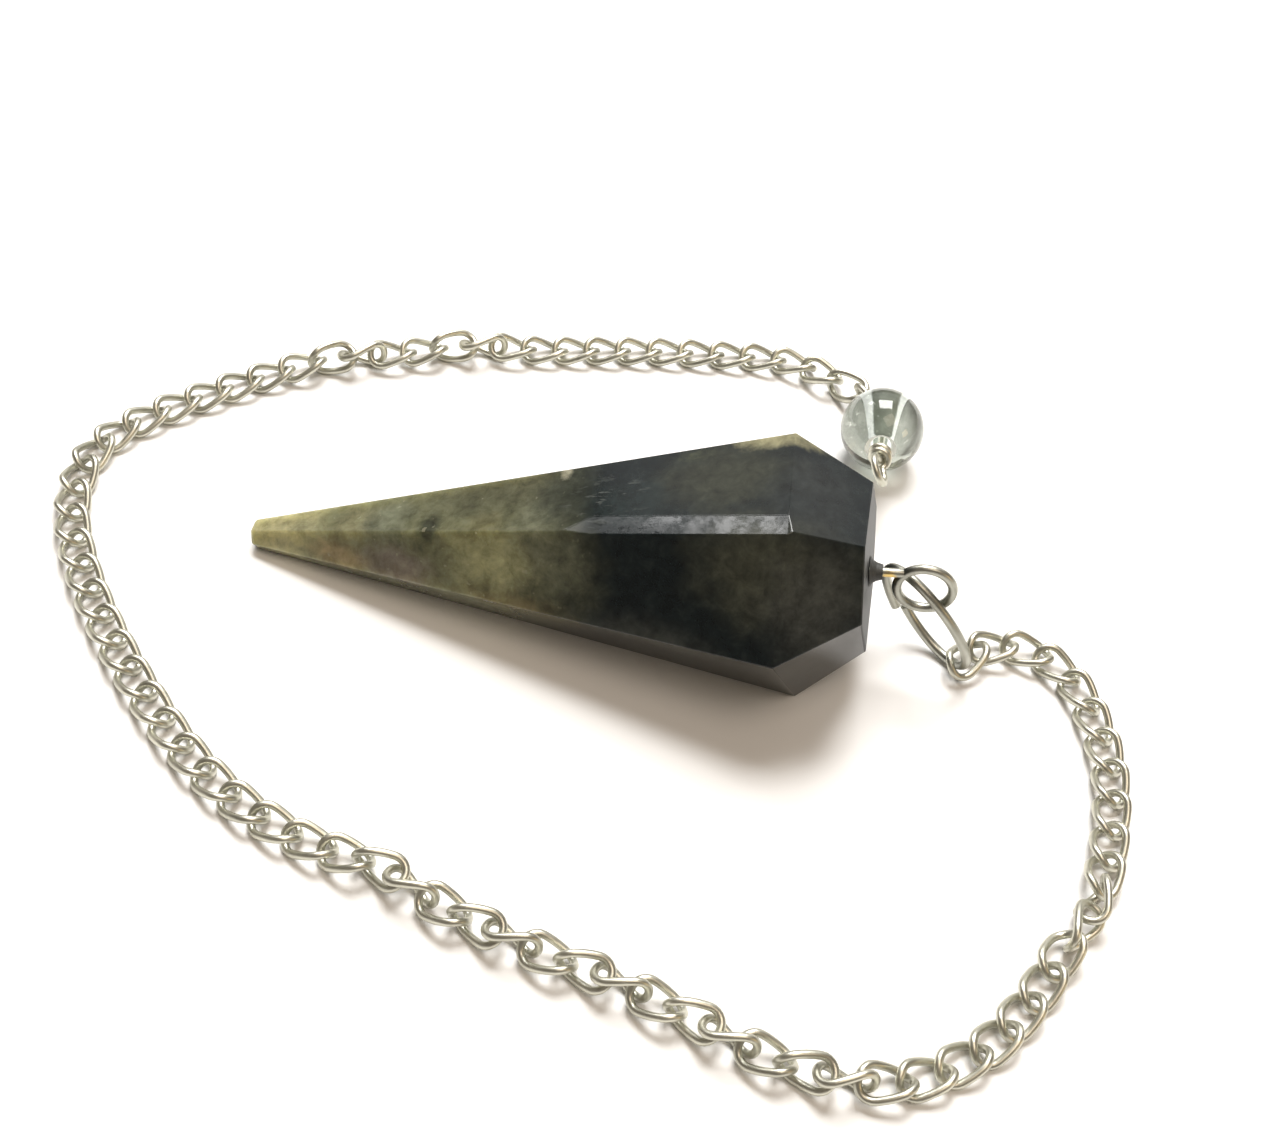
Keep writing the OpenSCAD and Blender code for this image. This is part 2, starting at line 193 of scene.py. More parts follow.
def tube(path, radius, sides, outward=None):
    """Points and faces of round wire along path.

    With outward vectors the wire is a closed ring. Otherwise its ends are flat and chamfered.
    """
    count = len(path)
    closed = outward is not None
    tangents = []
    for i in range(count):
        ahead = path[(i + 1) % count] if closed else path[min(i + 1, count - 1)]
        behind = path[i - 1] if closed else path[max(i - 1, 0)]
        tangents.append((ahead - behind).normalized())
    across = []
    for i, tangent in enumerate(tangents):
        if closed:
            start = outward[i]
        elif i:
            start = across[-1]
        else:
            start = UP if abs(tangent.z) < 0.9 else Vector((1, 0, 0))
        across.append(square_to(start, tangent))
    rings = [(path[i], radius, tangents[i], across[i]) for i in range(count)]
    if not closed:
        chamfer = WIRE_CHAMFER * radius
        first, last = rings[0], rings[-1]
        rings[0] = (first[0] + chamfer * first[2], *first[1:])
        rings[-1] = (last[0] - chamfer * last[2], *last[1:])
        rings.insert(0, (first[0], radius - chamfer, first[2], first[3]))
        rings.append((last[0], radius - chamfer, last[2], last[3]))
    verts = []
    for middle, r, tangent, side in rings:
        other = tangent.cross(side)
        for j in range(sides):
            turn = 2 * pi * j / sides
            verts.append(middle + r * (cos(turn) * side + sin(turn) * other))
    faces = []
    count = len(rings)
    for i in range(count if closed else count - 1):
        for j in range(sides):
            k, n = (j + 1) % sides, (i + 1) % count
            faces.append((i * sides + j, i * sides + k, n * sides + k, n * sides + j))
    if not closed:
        faces.append(tuple(range(sides - 1, -1, -1)))
        faces.append(tuple((count - 1) * sides + j for j in range(sides)))
    return verts, faces


def smooth_curve(points, i, t):
    """Point on the curve through the points, the share t of the way from point i to the next."""
    a, b, c = points[max(i - 1, 0)], points[i], points[i + 1]
    d = points[min(i + 2, len(points) - 1)]
    return (
        b + t * (c - a) / 2 + t * t * (2 * a - 5 * b + 4 * c - d) / 2
        + t ** 3 * (3 * b - a - 3 * c + d) / 2
    )


def refined(points, steps):
    """The same path with more points on it."""
    path = []
    for i in range(len(points) - 1):
        path += [smooth_curve(points, i, k / steps) for k in range(steps)]
    return path + [points[-1]]


# The stone's shape
def stone_point(angle, r, s):
    return Vector((s, -r * deg_sin(angle), r * deg_cos(angle)))


def stone_corner(k):
    angle, shift = CORNERS[k % 6]
    past = shift * CROWN_LEN
    return stone_point(angle, STONE_D / 2 + TAPER * past, BODY_LEN + past)


def crown_plane(k):
    """A point on crown facet k, and the facet's direction outwards."""
    k %= 6
    p, q = stone_corner(k), stone_corner(k + 1)
    top = stone_point(CORNERS[k][0] + 30, TOP_APOTHEM * CROWN_SHARE[k], STONE_LEN)
    return p, (q - p).cross(top - p).normalized()


def top_corner(k):
    """Where the crown facets on both sides of corner k meet the flat top."""
    p, n = crown_plane(k - 1)
    q, m = crown_plane(k)
    planes = Matrix((n, m, Vector((1, 0, 0))))
    return planes.inverted() @ Vector((n.dot(p), m.dot(q), STONE_LEN))


def along_corner(edge, k):
    """Whether an edge is the long ridge that runs from the tip to corner k of the shoulder."""
    middle = (edge.verts[0].co + edge.verts[1].co) / 2
    angle = degrees(atan2(-middle.y, middle.z))
    return edge.calc_length() > BODY_LEN / 4 and abs(angle - CORNERS[k][0]) < 8


def bevel_edges(bm, edges, offset, **shape):
    return bmesh.ops.bevel(
        bm, geom=edges, offset=offset, affect="EDGES", clamp_overlap=True, **shape
    )["faces"]


def grind_strip(bm):
    """Grinds the crown end of the ridge on the -Y side to a flat strip with a look of its own."""
    faces = [f for f in bm.faces if any(along_corner(e, STRIP_CORNER) for e in f.edges)]
    edges = [e for e in bm.edges if any(f in faces for f in e.link_faces)]
    verts = [v for v in bm.verts if any(f in faces for f in v.link_faces)]
    bmesh.ops.bisect_plane(
        bm, geom=faces + edges + verts, plane_co=(STRIP_FROM, 0, 0), plane_no=(1, 0, 0)
    )
    ridge = [e for e in bm.edges if along_corner(e, STRIP_CORNER)]
    ridge = [e for e in ridge if min(v.co.x for v in e.verts) > STRIP_FROM - 0.1]
    ends = [v.co.copy() for e in ridge for v in e.verts]
    for face in bevel_edges(bm, ridge, STRIP_CUT, segments=1):
        face.material_index = 1
    # It lies more on the upper facet than on the front one
    for vert in bm.verts:
        for end in ends:
            if (vert.co - end).length < 1.5 * STRIP_CUT:
                upper = degrees(atan2(-vert.co.y, vert.co.z)) < CORNERS[STRIP_CORNER][0]
                vert.co = end.lerp(vert.co, STRIP_ON_UPPER if upper else STRIP_ON_FRONT)


def make_stone(materials):
    bm = bmesh.new()
    tip = [bm.verts.new(stone_point(CORNERS[k][0], TIP_D / 2, 0)) for k in range(6)]
    shoulder = [bm.verts.new(stone_corner(k)) for k in range(6)]
    top = [bm.verts.new(top_corner(k)) for k in range(6)]
    for k in range(6):
        n = (k + 1) % 6
        bm.faces.new((tip[k], tip[n], shoulder[n], shoulder[k]))
        bm.faces.new((shoulder[k], shoulder[n], top[n], top[k]))
    end = bm.faces.new(tip[::-1])
    bm.faces.new(top)
    bmesh.ops.recalc_face_normals(bm, faces=bm.faces)
    bevel_edges(bm, list(end.edges), TIP_ROUND, segments=4, profile=0.5)
    grind_strip(bm)
    sharp = [e for e in bm.edges if len(e.link_faces) == 2 and e.calc_face_angle() > radians(28)]
    bevel_edges(bm, sharp, EDGE_ROUND, segments=2, profile=0.6)
    bm.transform(STONE_FRAME)
    bm.verts.index_update()
    verts = [v.co.copy() for v in bm.verts]
    faces = [tuple(v.index for v in f.verts) for f in bm.faces]
    looks = [f.material_index for f in bm.faces]
    bm.free()
    piece = new_piece("stone_point", verts, faces, materials, "crystal_point")
    for face, look in zip(piece.data.polygons, looks):
        face.material_index = look
    weighted = piece.modifiers.new("facets", "WEIGHTED_NORMAL")
    weighted.keep_sharp = True
    weighted.weight = 100


# The shapes of the pin, eye and ring
def on_axis(s):
    return STONE_FRAME @ Vector((s, 0, 0))


EYE_MID = on_axis(STONE_LEN + EYE_REACH) - EYE_DROP * UP


def make_eye_pin(materials):
    """The peg out of the stone, and the eye that its end meets."""
    below, behind = EYE_DROP * cos(STONE_TILT), EYE_DROP * sin(STONE_TILT)
    join = STONE_LEN + EYE_REACH - behind - sqrt((EYE_D / 2) ** 2 - below ** 2)
    steps = 6
    first = STONE_LEN - PIN_DEPTH + FIT_GAP
    peg = [on_axis(first + (join - first) * k / steps) for k in range(steps + 1)]
    verts, faces = tube(peg, PIN_D / 2 - PEG_THINNER, 20)
    count = 96
    ring, outward = [], []
    for k in range(count):
        turn = 2 * pi * k / count
        out = Vector((cos(turn), 0, sin(turn)))
        outward.append(out)
        ring.append(EYE_MID + EYE_D / 2 * out)
    more_verts, more_faces = tube(ring, PIN_D / 2, 20, outward)
    base = len(verts)
    faces += [tuple(base + i for i in face) for face in more_faces]
    new_piece("eye_pin_wire", verts + more_verts, faces, materials, "eye_pin")


def ring_axes():
    face = Vector((
        deg_cos(RING_LEAN) * deg_cos(RING_HEADING), deg_cos(RING_LEAN) * deg_sin(RING_HEADING),
        deg_sin(RING_LEAN),
    ))
    down = (face.z * face - UP).normalized()
    long = deg_cos(RING_TURN) * down - deg_sin(RING_TURN) * face.cross(down)
    return face, long, face.cross(long)


RING_FACE, RING_LONG, RING_SHORT = ring_axes()
RING_A = (RING_INNER[0] + RING_WIRE_D) / 2
RING_B = (RING_INNER[1] + RING_WIRE_D) / 2
RING_MID = Vector((
    EYE_MID.x + RING_PAST_EYE, RING_ASIDE,
    hypot(RING_A * RING_LONG.z, RING_B * RING_SHORT.z) + RING_WIRE_D / 2 + RING_FOOT,
))


def end_share(angle):
    return max(0, 1 - angle / 90) ** 2


def ring_point(w):
    step = RING_STEP / 2 * (end_share(RING_CUT_AT + 360 - w) - end_share(w - RING_CUT_AT))
    return (
        RING_MID + RING_A * deg_cos(w) * RING_LONG + RING_B * deg_sin(w) * RING_SHORT
        + step * RING_FACE
    )


def make_ring(materials):
    half_cut = RING_CUT / RING_A * 180 / pi / 2
    span = 360 - 2 * half_cut
    steps = 150
    path = [ring_point(RING_CUT_AT + half_cut + span * k / steps) for k in range(steps + 1)]
    verts, faces = tube(path, RING_WIRE_D / 2, 22)
    new_piece("jump_ring_wire", verts, faces, materials, "jump_ring")


# The shapes of the bead and its wire
BORE_DIR = Vector((0, -deg_cos(BEAD_RISE), deg_sin(BEAD_RISE)))
MOUTH = sqrt((BEAD_D / 2) ** 2 - (BEAD_BORE_D / 2) ** 2)
HOLD_FROM = BEAD_AT - MOUTH * BORE_DIR
HOLD_X = square_to(HOLD_SIDE, HOLD_DIR)
LOOP_R = LOOP_D / 2
HOLD_HOOK = (
    HOLD_FROM + (HOLD_OUT - LOOP_R * deg_cos(HOLD_HOOK_AT)) * HOLD_DIR
    + LOOP_R * deg_sin(HOLD_HOOK_AT) * HOLD_X
)


def loop_path(origin, direction, side, out, turns):
    """Wire from the bore's mouth, round a loop, and wrapped back round its own neck."""
    x = square_to(side, direction)
    y = direction.cross(x)
    start = out - LOOP_R
    wrap_r = BEAD_WIRE_D + 2 * FIT_GAP
    local = [(0, 0, 0), (0, 0, start - NECK_SHORT)]
    local += [(LOOP_R * deg_sin(a), 0, out - LOOP_R * deg_cos(a)) for a in LOOP_ANGLES]
    for a in range(0, int(360 * turns) + 1, WRAP_STEP):
        z = start - BEAD_WIRE_D / 4 - wrap_r * a / 360 - WRAP_BEND * (1 - 2 ** (-a / WRAP_EASE))
        local.append((-wrap_r * deg_cos(a), -wrap_r * deg_sin(a), z))
    return [origin + u * x + v * y + w * direction for u, v, w in local]


def make_bead_wire(materials):
    free = loop_path(BEAD_AT + MOUTH * BORE_DIR, BORE_DIR, FREE_SIDE, FREE_OUT, WRAP_TURNS)
    hold = loop_path(HOLD_FROM, HOLD_DIR, HOLD_SIDE, HOLD_OUT, HOLD_TURNS)
    path = refined(free[::-1] + hold, 4)
    verts, faces = tube(path, BEAD_WIRE_D / 2, 18)
    new_piece("bead_loop_wire", verts, faces, materials, "bead_wire")


def make_bead(materials):
    """A glass ball with a ground bore: the profile of half a lens turned about the bore."""
    bore_r = BEAD_BORE_D / 2
    edge_z = sqrt((BEAD_D / 2) ** 2 - (bore_r + BORE_CHAMFER) ** 2)
    wall_z = edge_z - BORE_CHAMFER
    steps = 64
    start = acos(edge_z / (BEAD_D / 2))
    profile = []
    for k in range(steps + 1):
        turn = start + (pi - 2 * start) * k / steps
        profile.append((BEAD_D / 2 * sin(turn), BEAD_D / 2 * cos(turn)))
    ball_rows = len(profile) - 1
    # The bore is narrower between its two mouths
    neck_r, neck_z = BORE_NECK_D / 2, wall_z - BORE_LEAD
    profile += [(bore_r, -wall_z), (neck_r, -neck_z), (neck_r, 0)]
    profile += [(neck_r, neck_z), (bore_r, wall_z)]
    sides = 128
    to_bore = BORE_DIR.to_track_quat("Z", "Y").to_matrix()
    verts = []
    for r, z in profile:
        for j in range(sides):
            turn = 2 * pi * j / sides
            verts.append(BEAD_AT + to_bore @ Vector((r * cos(turn), r * sin(turn), z)))
    faces = []
    rows = len(profile)
    for i in range(rows):
        for j in range(sides):
            k, n = (j + 1) % sides, (i + 1) % rows
            faces.append((i * sides + j, n * sides + j, n * sides + k, i * sides + k))
    piece = new_piece("glass_bead", verts, faces, materials, "bead")
    for index, polygon in enumerate(piece.data.polygons):
        if index // sides >= ball_rows:
            polygon.material_index = 1
    sharp_rows = {0, ball_rows, ball_rows + 1, rows - 1}
    for edge in piece.data.edges:
        rows_of_edge = {v // sides for v in edge.vertices}
        if len(rows_of_edge) == 1 and rows_of_edge & sharp_rows:
            edge.use_edge_sharp = True


# The chain's shape
LINK_B = LINK_W / 2
LINK_A = (LINK_PITCH + LINK_WIRE_D + LINK_GAP) / 2 + LINK_B * (1 - deg_cos(90 / END_STEPS))


def link_line(steps, side_steps=1):
    """Centre line of a flat link, and its outward directions with the x that sets their twist."""
    straight = LINK_A - LINK_B
    line, outward = [], []
    for end in (1, -1):
        for k in range(steps + 1):
            turn = -90 + 180 * k / steps
            x = straight + LINK_B * deg_cos(turn)
            line.append((end * x, end * LINK_B * deg_sin(turn)))
            outward.append((end * x, end * deg_cos(turn), end * deg_sin(turn)))
        for k in range(1, side_steps):
            x = straight - 2 * straight * k / side_steps
            line.append((end * x, end * LINK_B))
            outward.append((end * x, 0, end))
    return line, outward


def turned(x, v, roll):
    """A flat link's point or direction v, twisted left-handed and rolled about its length."""
    angle = radians(roll - LINK_TWIST * x / LINK_A)
    return Vector((v[0], v[1] * cos(angle), v[1] * sin(angle)))


def lying_height(roll):
    line, _ = link_line(END_STEPS)
    return LINK_WIRE_D / 2 + REST_GAP - min(turned(p[0], p, roll).z for p in line)


FIRST_MID = ring_point(RING_HOOK_AT) + FIRST_WAY * (LINK_A - (LINK_WIRE_D + RING_WIRE_D) / 2)
LAST_MID = HOLD_HOOK - LAST_WAY * (LINK_A - (LINK_WIRE_D + BEAD_WIRE_D) / 2)


def chain_route():
    """Points from the first link's middle to the last one's, and their distances along it."""
    knots = [FIRST_MID - lying_height(FIRST_ROLLS[0]) * UP]
    knots += [Vector((TOP_X + x, y, z)) for x, y, z in ROUTE]
    knots.append(LAST_MID - lying_height(LAST_ROLLS[0]) * UP)
    route = refined(knots, ROUTE_STEPS)
    lengths = [0]
    for a, b in zip(route, route[1:]):
        lengths.append(lengths[-1] + (b - a).length)
    return route, lengths


def on_route(route, lengths, s):
    if s <= 0:
        return route[0]
    if s >= lengths[-1]:
        return route[-1]
    i = bisect.bisect_right(lengths, s) - 1
    return route[i].lerp(route[i + 1], (s - lengths[i]) / (lengths[i + 1] - lengths[i]))


def turned_joints(i):
    return sum(min(max(i - start, 0), joints) for start, joints in FLIPS)


def link_poses():
    """Middle, axes and roll of every link."""
    route, lengths = chain_route()
    straight_len = lengths[-1] + TURNED_TAKE_UP * sum(joints for _, joints in FLIPS)
    count = round(straight_len / LINK_PITCH) + 1
    step = straight_len / (count - 1)
    last = count - 1
    rolls = []
    for i in range(count):
        if i < len(FIRST_ROLLS):
            rolls.append(FIRST_ROLLS[i])
        elif last - i < len(LAST_ROLLS):
            rolls.append(LAST_ROLLS[last - i])
        else:
            rolls.append(JOINT_TURN * turned_joints(i))
    lying = [lying_height(roll) for roll in rolls]
    middles = []
    for i in range(count):
        near = 0 if i in (0, last) else REST_REACH
        height = max(
            lying[j] - REST_RISE * abs(i - j)
            for j in range(max(i - near, 0), min(i + near, last) + 1)
        )
        s = i * step - TURNED_TAKE_UP * turned_joints(i)
        middles.append(on_route(route, lengths, s) + height * UP)
    poses = []
    for i in range(count):
        if i == 0:
            along = FIRST_DIR
        elif i == last:
            along = LAST_DIR
        else:
            along = (middles[i + 1] - middles[i - 1]).normalized()
        left = UP.cross(along).normalized()
        poses.append((middles[i], along, left, along.cross(left), rolls[i]))
    return poses


def make_chain(materials):
    """All links as one piece, at the same places as the solids but finer."""
    line, outward = link_line(14, 5)
    sides = 12
    verts, faces = [], []
    for middle, along, left, up, roll in link_poses():
        path, out = [], []
        for p, o in zip(line, outward):
            v = turned(p[0], p, roll)
            w = turned(o[0], o[1:], roll)
            path.append(middle + v.x * along + v.y * left + v.z * up)
            out.append(w.x * along + w.y * left + w.z * up)
        link_verts, link_faces = tube(path, LINK_WIRE_D / 2, sides, out)
        base = len(verts)
        verts += link_verts
        faces += [tuple(base + i for i in face) for face in link_faces]
    new_piece("chain_links", verts, faces, materials, "chain")


# Materials
class Nodes:
    """Short ways to add and join shader nodes of one material."""

    def __init__(self, name):
        self.material = bpy.data.materials.new(name)
        self.material.use_nodes = True
        self.tree = self.material.node_tree
        self.shader = self.tree.nodes["Principled BSDF"]

    def add(self, kind, inputs=None, **settings):
        node = self.tree.nodes.new("ShaderNode" + kind)
        for key, value in settings.items():
            setattr(node, key, value)
        for key, value in (inputs or {}).items():
            self.put(node, key, value)
        return node

    def put(self, node, key, value):
        """Sets an input, or links it when the value is another node's output."""
        socket = node.inputs[key]
        if isinstance(value, bpy.types.NodeSocket):
            self.tree.links.new(value, socket)
        else:
            socket.default_value = value

    def set(self, **values):
        for key, value in values.items():
            self.put(self.shader, key.replace("_", " "), value)

    def coords(self, scale=(1, 1, 1), turn=(0, 0, 0), shift=(0, 0, 0)):
        """Object coordinates in millimetres, turned and stretched."""
        place = self.add("TexCoord").outputs["Object"]
        grown = tuple(s / MM for s in scale)
        return self.add(
            "Mapping", {"Vector": place, "Scale": grown, "Rotation": turn, "Location": shift}
        ).outputs["Vector"]

    def noise(self, vector, scale, detail=4, roughness=0.55, distortion=0):
        return self.add("TexNoise", {
            "Vector": vector, "Scale": scale, "Detail": detail, "Roughness": roughness,
            "Distortion": distortion,
        }).outputs["Fac"]

    def ramp(self, value, stops):
        """Colour ramp. Stops are (position, (r, g, b)) or (position, grey)."""
        node = self.add("ValToRGB", {"Fac": value})
        ramp = node.color_ramp
        while len(ramp.elements) < len(stops):
            ramp.elements.new(0.5)
        for element, (position, colour) in zip(ramp.elements, stops):
            element.position = position
            if not isinstance(colour, tuple):
                colour = (colour,) * 3
            element.color = (*colour, 1)
        return node.outputs["Color"]

    def mix(self, factor, a, b, blend="MIX"):
        node = self.add("Mix", data_type="RGBA", blend_type=blend)
        for index, value in ((0, factor), (6, a), (7, b)):
            if isinstance(value, bpy.types.NodeSocket):
                self.tree.links.new(value, node.inputs[index])
            elif index == 0:
                node.inputs[index].default_value = value
            else:
                node.inputs[index].default_value = (*value, 1)
        return node.outputs[2]

    def math(self, operation, a, b=0.0, c=0.0):
        node = self.add("Math", operation=operation)
        for index, value in enumerate((a, b, c)):
            if isinstance(value, bpy.types.NodeSocket):
                self.tree.links.new(value, node.inputs[index])
            else:
                node.inputs[index].default_value = value
        return node.outputs["Value"]

    def patch(self, middle, size, edge=0.6, wobble=1.1, seed=0):
        """A blot of 1 round a place in millimetres, with a ragged edge, and 0 away from it."""
        if not isinstance(size, tuple):
            size = (size,) * 3
        scale = tuple(1 / a for a in size)
        shift = tuple(-p / a for p, a in zip(middle, size))
        reach = self.add("VectorMath", {0: self.coords(scale, shift=shift)}, operation="LENGTH")
        ragged = self.noise(self.coords(shift=(seed, 2 * seed, 5)), 1.3 / min(size), 4, 0.6)
        far = self.math("ADD", reach.outputs["Value"], self.math("MULTIPLY", ragged, wobble))
        start = 1 + 0.5 * wobble
        node = self.add("MapRange", {
            "Value": far, "From Min": start - edge, "From Max": start + edge,
            "To Min": 1.0, "To Max": 0.0,
        }, interpolation_type="SMOOTHSTEP")
        return node.outputs["Result"]

    def bump(self, height, strength, distance):
        normal = self.add(
            "Bump", {"Height": height, "Strength": strength, "Distance": distance * MM}
        ).outputs["Normal"]
        self.put(self.shader, "Normal", normal)


# Blots in the stone, one of them partly a painted highlight: middle, size, colour and strength
STONE_BLOTS_AND_EDGE_HIGHLIGHT = [
    ((-16.6, -1, 2.6), (2.6, 2.6, 2.6), (0.30, 0.285, 0.165), 0.8),
    ((-12.4, -2.4, 2.6), (2.0, 1.2, 0.9), (0.24, 0.18, 0.095), 0.6),
    ((-11.3, -0.6, 4.4), (1.4, 1.4, 1.2), (0.19, 0.18, 0.105), 0.6),
    ((-9.2, -0.8, 5.2), (1.8, 2.0, 1.3), (0.115, 0.122, 0.085), 0.8),
    ((-8.4, -3.0, 3.6), (2.6, 1.2, 1.2), (0.15, 0.125, 0.11), 0.7),
    ((-6.3, -1.6, 6.3), (0.7, 1.1, 0.8), (0.028, 0.031, 0.022), 0.9),
    ((-7.1, -2.8, 5.3), (0.6, 0.5, 0.5), (0.03, 0.028, 0.02), 0.8),
    ((-2.4, -4.0, 6.4), (2.8, 1.8, 1.8), (0.29, 0.285, 0.155), 0.7),
    ((-3.2, -1.6, 8.2), (1.6, 1.0, 0.8), (0.10, 0.09, 0.045), 0.7),
    ((0.6, -1.8, 9), (1.6, 2.4, 1.6), (0.12, 0.125, 0.085), 0.7),
    ((-1, -5.4, 3.8), (4.4, 1.2, 1.6), (0.12, 0.095, 0.05), 0.6),
    ((-3.6, 1.3, 7.8), (7.5, 2.2, 2.2), (0.062, 0.062, 0.040), 0.7),
    ((1.8, 0.2, 9.6), (2.0, 2.2, 1.0), (0.028, 0.032, 0.024), 0.8),
    ((2.6, -4.0, 7.6), (1.8, 1.2, 1.8), (0.100, 0.104, 0.070), 0.6),
    # Partly the stone's yellowish tone, partly a painted highlight along the far top edge
    ((13.2, 3.9, 14.2), (3.4, 0.75, 0.8), (0.27, 0.255, 0.15), 0.9),
    ((7.6, 3.0, 12.8), (2.4, 0.6, 0.6), (0.10, 0.11, 0.06), 0.6),
    ((11.5, 0.8, 13.4), (4.6, 2.6, 2.2), (0.038, 0.040, 0.026), 0.65),
    ((15.5, -5.0, 11.8), (4.4, 3.0, 2.8), (0.058, 0.059, 0.040), 0.65),
    ((6, -0.8, 11.2), (2.6, 1.8, 1.6), (0.010, 0.016, 0.016), 0.8),
    ((1.7, 2.5, 9.4), (0.3, 0.6, 0.6), (0.30, 0.29, 0.22), 0.7),
    ((17.5, -0.4, 14.4), (2.6, 3.2, 1.6), (0.017, 0.020, 0.020), 0.8),
    ((18.5, -6, 10.6), (3, 2.4, 4), (0.040, 0.042, 0.038), 0.8),
    ((7, -7, 5.4), (9, 1.2, 1.6), (0.040, 0.043, 0.038), 0.6),
]


def stone_material(name, dull, gloss):
    """Polished stone: olive and tan towards the tip, near black in the middle, dark at the crown.

    The ground strip on the ridge is the same stone, with duller patches.
    """
    m = Nodes(name)
    place = m.coords()
    cloud = m.noise(place, 0.2, 5, 0.62, 0.5)
    mottle = m.noise(m.coords(shift=(4, 8, 2)), 0.9, 6, 0.68, 0.3)
    axes = m.add("SeparateXYZ", {"Vector": place}).outputs
    slanted = m.math("ADD", axes["X"], m.math("MULTIPLY", axes["Y"], 0.3))
    wavy = m.math("ADD", slanted, m.math("MULTIPLY", m.math("SUBTRACT", cloud, 0.5), 7.0))
    dark = m.add("MapRange", {
        "Value": wavy, "From Min": -3.0, "From Max": 4.8, "To Min": 0.0, "To Max": 1.0,
    }, interpolation_type="SMOOTHSTEP").outputs["Result"]
    pale = m.ramp(mottle, [
        (0.30, (0.07, 0.072, 0.044)), (0.50, (0.125, 0.127, 0.075)), (0.70, (0.17, 0.176, 0.11)),
    ])
    deep = m.ramp(mottle, [
        (0.30, (0.003, 0.005, 0.006)), (0.55, (0.006, 0.010, 0.011)), (0.75, (0.016, 0.021, 0.020)),
    ])
    colour = m.mix(dark, pale, deep)
    shade = m.ramp(mottle, [(0.3, 0.55), (0.7, 1.5)])
    for seed, (middle, size, tint, strength) in enumerate(STONE_BLOTS_AND_EDGE_HIGHLIGHT):
        share = m.math("MULTIPLY", m.patch(middle, size, seed=seed), strength)
        colour = m.mix(share, colour, m.mix(1.0, tint, shade, "MULTIPLY"))
    # Painted highlight: short pale streaks beside the ridge where the ground strip's highlight
    # begins; and pin-prick sparkles
    drawn = m.noise(m.coords((0.5, 2.2, 1.2), (0, 0, 0.9), (3, 1, 6)), 1.0, 3, 0.6)
    streak = m.ramp(drawn, [(0.57, 0.0), (0.66, 1.0)])
    highlight_streaks = m.math("MULTIPLY", streak, m.patch((4.6, -0.4, 10.6), (2.8, 1.8, 1.6), 0.5, 0.6, 21))
    colour = m.mix(m.math("MULTIPLY", highlight_streaks, 0.45), colour, (0.13, 0.14, 0.13))
    specks = m.ramp(m.noise(m.coords(shift=(9, 2, 7)), 1.9, 2, 0.5), [(0.70, 0.0), (0.75, 1.0)])
    clear = m.math("SUBTRACT", 1.0, dark)
    glints = m.math("MULTIPLY", specks, m.math("MULTIPLY", clear, 0.4))
    colour = m.mix(glints, colour, (0.32, 0.31, 0.22))
    # The drilled end is ground but not polished
    over = m.math("MULTIPLY", axes["X"], cos(STONE_TILT))
    along = m.math("ADD", over, m.math("MULTIPLY", axes["Z"], sin(STONE_TILT)))
    start = STONE_AT.x * cos(STONE_TILT) + STONE_AT.z * sin(STONE_TILT)
    ground = m.math("GREATER_THAN", along, start + STONE_LEN - 0.1)
    rough = m.math("ADD", 0.06, m.math("MULTIPLY", mottle, 0.08))
    patches = m.ramp(mottle, [(0.40, 0.0), (0.66, 1.0)])
    rough = m.math("ADD", rough, m.math("MULTIPLY", patches, dull))
    m.set(Base_Color=colour, Roughness=m.math("ADD", rough, m.math("MULTIPLY", ground, 0.35)))
    m.set(Subsurface_Weight=m.math("ADD", 0.1, m.math("MULTIPLY", clear, 0.9)))
    m.set(Subsurface_Radius=(1.0, 0.92, 0.62), Subsurface_Scale=4.5 * MM)
    m.set(IOR=1.5, Specular_IOR_Level=gloss)
    m.bump(m.noise(m.coords(shift=(1, 6, 3)), 1.1, 5, 0.6), 0.16, 0.03)
    return m.material


def metal_material(name, tint, roughness, golden_highlight_at=None):
    """Plated wire: fine drawn scratches, small dents and slightly darker stains."""
    m = Nodes(name)
    fine = m.noise(m.coords(), 3.5, 5, 0.6)
    stain = m.ramp(m.noise(m.coords(shift=(6, 1, 2)), 0.35, 3, 0.6), [(0.35, 0.78), (0.65, 1.0)])
    colour = m.mix(fine, tuple(0.84 * c for c in tint), tint)
    colour = m.mix(1.0, colour, stain, "MULTIPLY")
    if golden_highlight_at:
        # A painted golden highlight: a patch of brass colour round the given point
        colour = m.mix(m.patch(golden_highlight_at, 0.45, 0.4, 0.6), colour, (0.78, 0.56, 0.20))
    rough = m.math("ADD", roughness - 0.06, m.math("MULTIPLY", fine, 0.14))
    m.set(Base_Color=colour, Metallic=1.0, Roughness=rough)
    m.bump(m.noise(m.coords(shift=(2, 5, 3)), 1.6, 4, 0.6), 0.35, 0.03)
    return m.material


def glass_material():
    """Grey-green glass with bubbles and cloudy streaks."""
    m = Nodes("clear_glass")
    cloud = m.noise(m.coords(shift=(2, 7, 4)), 0.9, 4, 0.6, 0.6)
    # Its tint is lighter towards the side away from the stone
    across = m.add("SeparateXYZ", {"Vector": m.coords(shift=tuple(-BEAD_AT))}).outputs["X"]
    clear = m.math("ADD", cloud, m.math("MULTIPLY", across, 0.1))
    share = m.ramp(clear, [(0.3, 0.0), (0.75, 1.0)])
    tint = m.mix(share, (0.22, 0.24, 0.21), (0.48, 0.51, 0.46))
    bubbles = m.ramp(m.noise(m.coords(shift=(5, 2, 8)), 2.4, 2, 0.5), [(0.66, 0.0), (0.71, 1.0)])
    m.set(Base_Color=m.mix(m.math("MULTIPLY", bubbles, 0.6), tint, (0.92, 0.95, 0.90)))
    m.set(Roughness=0.015, IOR=1.5, Transmission_Weight=1.0)
    m.bump(m.noise(m.coords(shift=(3, 3, 1)), 0.5, 3, 0.5), 0.10, 0.05)
    return m.material


